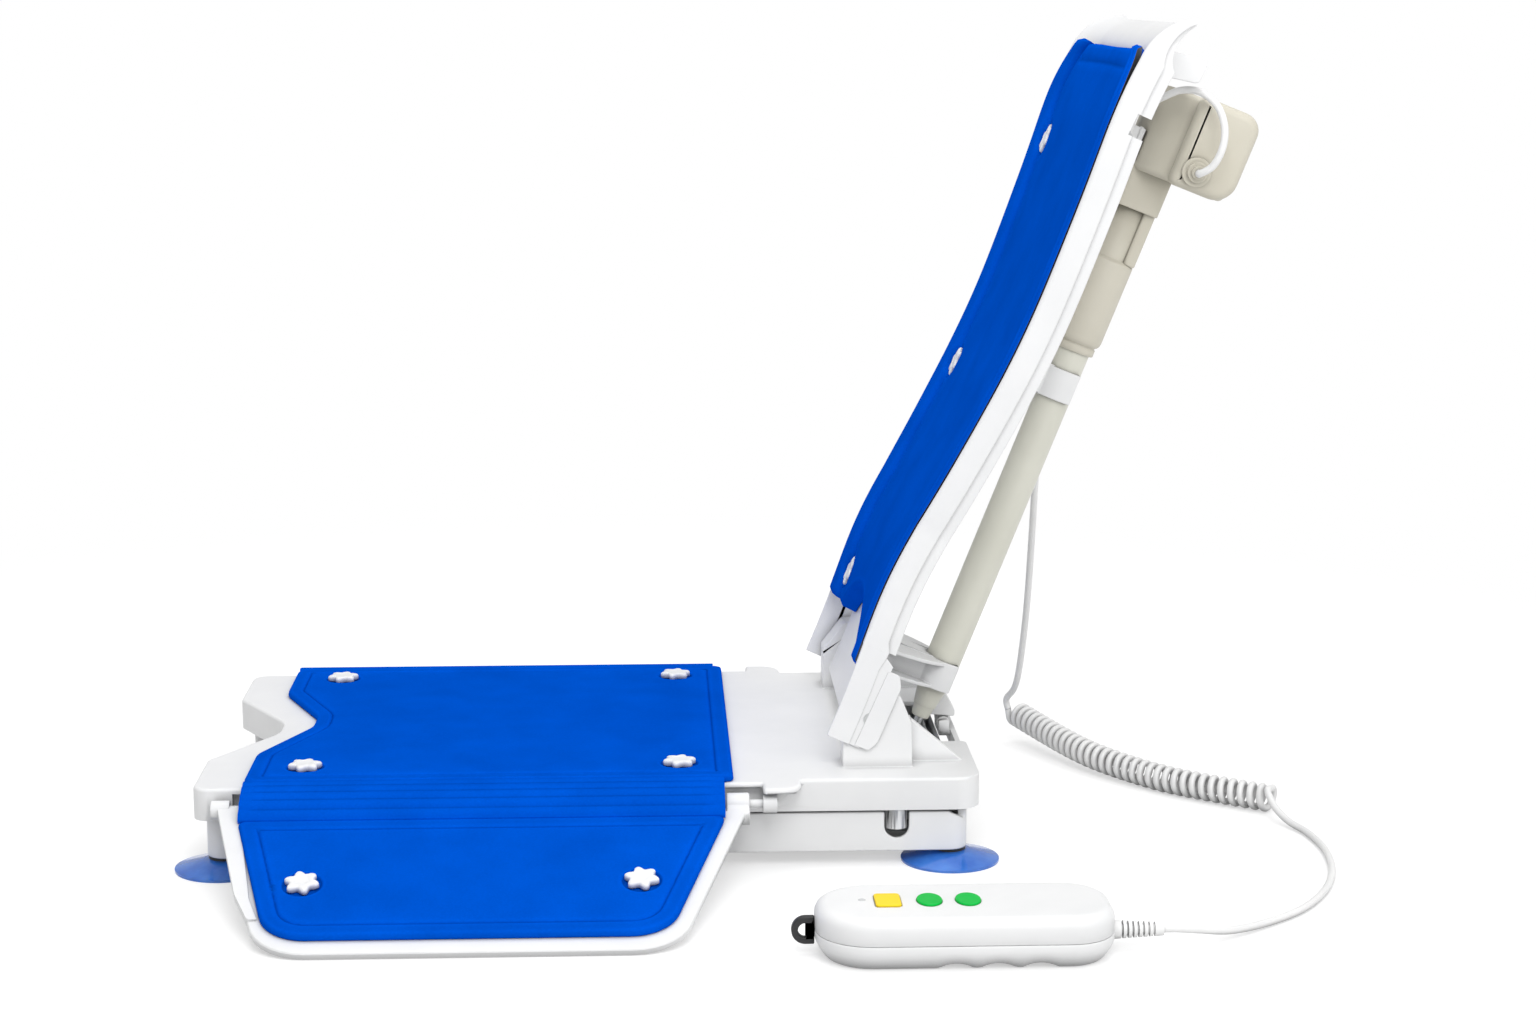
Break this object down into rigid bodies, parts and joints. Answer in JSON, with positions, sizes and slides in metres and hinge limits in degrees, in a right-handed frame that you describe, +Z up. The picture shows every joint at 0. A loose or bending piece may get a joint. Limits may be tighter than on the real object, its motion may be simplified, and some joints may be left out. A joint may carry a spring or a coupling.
{
  "type": "bath lift",
  "caption": "Low bath seat on a scissor lift with suction cups, hinged side flaps, a reclining backrest with its drive, and a corded hand control.",
  "frame": {"origin": "on the bath floor at the centre of the four suction cups", "axes": "+X to the rear (backrest side), +Y to the far flap, +Z up"},
  "size_m": [0.854, 0.7522, 0.6144],
  "materials": {
    "white_plastic": "smooth satin gloss moulding",
    "blue_cover": "soft pebble grain foam cover",
    "cup_rubber": "glossy translucent rubber",
    "black_rubber": "matt black rubber",
    "steel": "brushed stainless steel",
    "greige_plastic": "fine matt moulding",
    "cream_tube": "satin extrusion",
    "cord_white": "satin cord jacket",
    "circuit": "coated board",
    "stop_yellow": "soft touch key",
    "drive_green": "soft touch key"
  },
  "bodies": {
    "base": {"base_tray": "white_plastic", "suction_cups": "cup_rubber", "cup_necks": "black_rubber", "lower_rails": "steel", "base_pivot_pins": "steel"},
    "outer_arms": {"outer_arm_near": "steel", "outer_arm_far": "steel", "outer_cross_tube": "steel", "centre_pins": "steel"},
    "upper_blocks": {"upper_slide_blocks": "white_plastic"},
    "inner_arms": {"inner_arm_near": "steel", "inner_arm_far": "steel", "inner_cross_tube": "steel", "drive_shafts": "steel", "drive_crank": "white_plastic"},
    "lower_blocks": {"lower_slide_blocks": "white_plastic"},
    "seat": {"seat_frame": "white_plastic", "upper_rails": "steel", "seat_cover": "blue_cover", "seat_knobs": "white_plastic", "flap_hinge_rods": "white_plastic", "recline_pins": "steel", "fold_strip_near": "blue_cover", "fold_strip_far": "blue_cover", "cord_drop": "cord_white"},
    "flap_near": {"flap_plate_near": "white_plastic", "flap_cover_near": "blue_cover", "flap_knobs_near": "white_plastic"},
    "flap_far": {"flap_plate_far": "white_plastic", "flap_cover_far": "blue_cover", "flap_knobs_far": "white_plastic"},
    "lever": {"release_lever": "white_plastic"},
    "backrest": {"backrest_shell": "white_plastic", "backrest_cover": "blue_cover", "backrest_knobs": "white_plastic", "tube_clip_lower": "white_plastic", "tube_clip_upper": "white_plastic", "motor_bracket": "white_plastic", "stow_bar": "white_plastic", "gear_housing": "greige_plastic", "motor_housing": "greige_plastic", "motor_cover": "greige_plastic", "drive_motor": "steel", "actuator_tube": "cream_tube", "tube_nose": "cream_tube", "cord_socket": "greige_plastic", "cord_held": "cord_white"},
    "screw": {"lead_screw": "steel"},
    "push_tube_body": {"push_tube": "steel"},
    "push_rod_body": {"push_rod": "steel"},
    "handset": {"handset_top": "white_plastic", "handset_bottom": "white_plastic", "handset_core": "circuit", "handset_loop": "black_rubber", "strain_relief": "cord_white", "cord_tail": "cord_white", "cord_coil": "cord_white"},
    "stop_key": {"stop_button": "stop_yellow"},
    "up_key": {"up_button": "drive_green"},
    "down_key": {"down_button": "drive_green"}
  },
  "joints": [
    {"name": "lift", "type": "hinge", "parent": "base", "child": "outer_arms", "pos_m": [0.264, 0, 0.024], "axis": [0, 1, 0], "range_deg": [0, 59.8]},
    {"name": "scissor", "type": "hinge", "parent": "outer_arms", "child": "inner_arms", "pos_m": [0.02163, 0, 0.032], "axis": [0, 1, 0], "range_deg": [-119.6, 0]},
    {"name": "seat_pivot", "type": "hinge", "parent": "inner_arms", "child": "seat", "pos_m": [0.264, 0, 0.04], "axis": [0, 1, 0], "range_deg": [0, 59.8]},
    {"name": "upper_block_pivot", "type": "hinge", "parent": "outer_arms", "child": "upper_blocks", "pos_m": [-0.22074, 0, 0.04], "axis": [0, 1, 0], "range_deg": [-59.8, 0]},
    {"name": "lower_block_pivot", "type": "hinge", "parent": "inner_arms", "child": "lower_blocks", "pos_m": [-0.22074, 0, 0.024], "axis": [0, 1, 0], "range_deg": [0, 59.8]},
    {"name": "flap_near_hinge", "type": "hinge", "parent": "seat", "child": "flap_near", "pos_m": [0, -0.182, 0.054], "axis": [-1, 0, 0], "range_deg": [0, 102], "deforming": ["fold_strip_near"]},
    {"name": "flap_far_hinge", "type": "hinge", "parent": "seat", "child": "flap_far", "pos_m": [0, 0.182, 0.054], "axis": [1, 0, 0], "range_deg": [0, 102], "deforming": ["fold_strip_far"]},
    {"name": "release_lever_hinge", "type": "hinge", "parent": "seat", "child": "lever", "pos_m": [0.279, 0, 0.06], "axis": [0, 1, 0], "range_deg": [0, 25]},
    {"name": "recline", "type": "hinge", "parent": "seat", "child": "backrest", "pos_m": [0.208, 0, 0.104], "axis": [0, 1, 0], "range_deg": [-12, 22], "deforming": ["cord_drop"]},
    {"name": "screw_turn", "type": "hinge", "parent": "backrest", "child": "screw", "pos_m": [0.258, 0, 0.071], "axis": [0.3697, 0, 0.9291], "range_deg": [0, 1196]},
    {"name": "push_tube_slide", "type": "slide", "parent": "backrest", "child": "push_tube_body", "axis": [-0.3697, 0, -0.9291], "range_m": [-0.02259, 0.01233]},
    {"name": "push_rod_slide", "type": "slide", "parent": "push_tube_body", "child": "push_rod_body", "axis": [-0.3697, 0, -0.9291], "range_m": [0, 0.01001]},
    {"name": "handset_stay", "type": "slide", "parent": "seat", "child": "handset", "axis": [0, 0, -1], "range_m": [0, 0.4111], "deforming": ["cord_coil"]},
    {"name": "stop_press", "type": "slide", "parent": "handset", "child": "stop_key", "axis": [0, 0, -1], "range_m": [0, 0.0012], "stiffness_N_per_m": 400},
    {"name": "up_press", "type": "slide", "parent": "handset", "child": "up_key", "axis": [0, 0, -1], "range_m": [0, 0.0012], "stiffness_N_per_m": 400},
    {"name": "down_press", "type": "slide", "parent": "handset", "child": "down_key", "axis": [0, 0, -1], "range_m": [0, 0.0012], "stiffness_N_per_m": 400}
  ],
  "couplings": [
    {"joint": "scissor", "follows": "lift", "ratio": -2},
    {"joint": "seat_pivot", "follows": "lift", "ratio": 1},
    {"joint": "upper_block_pivot", "follows": "lift", "ratio": -1},
    {"joint": "lower_block_pivot", "follows": "lift", "ratio": 1},
    {"joint": "screw_turn", "follows": "lift", "ratio": 20},
    {"joint": "push_tube_slide", "follows": "recline", "m_per_rad": -0.0588},
    {"joint": "push_rod_slide", "follows": "lift", "m_per_rad": 0.00958},
    {"joint": "handset_stay", "follows": "lift", "m_per_rad": 0.3938}
  ]
}
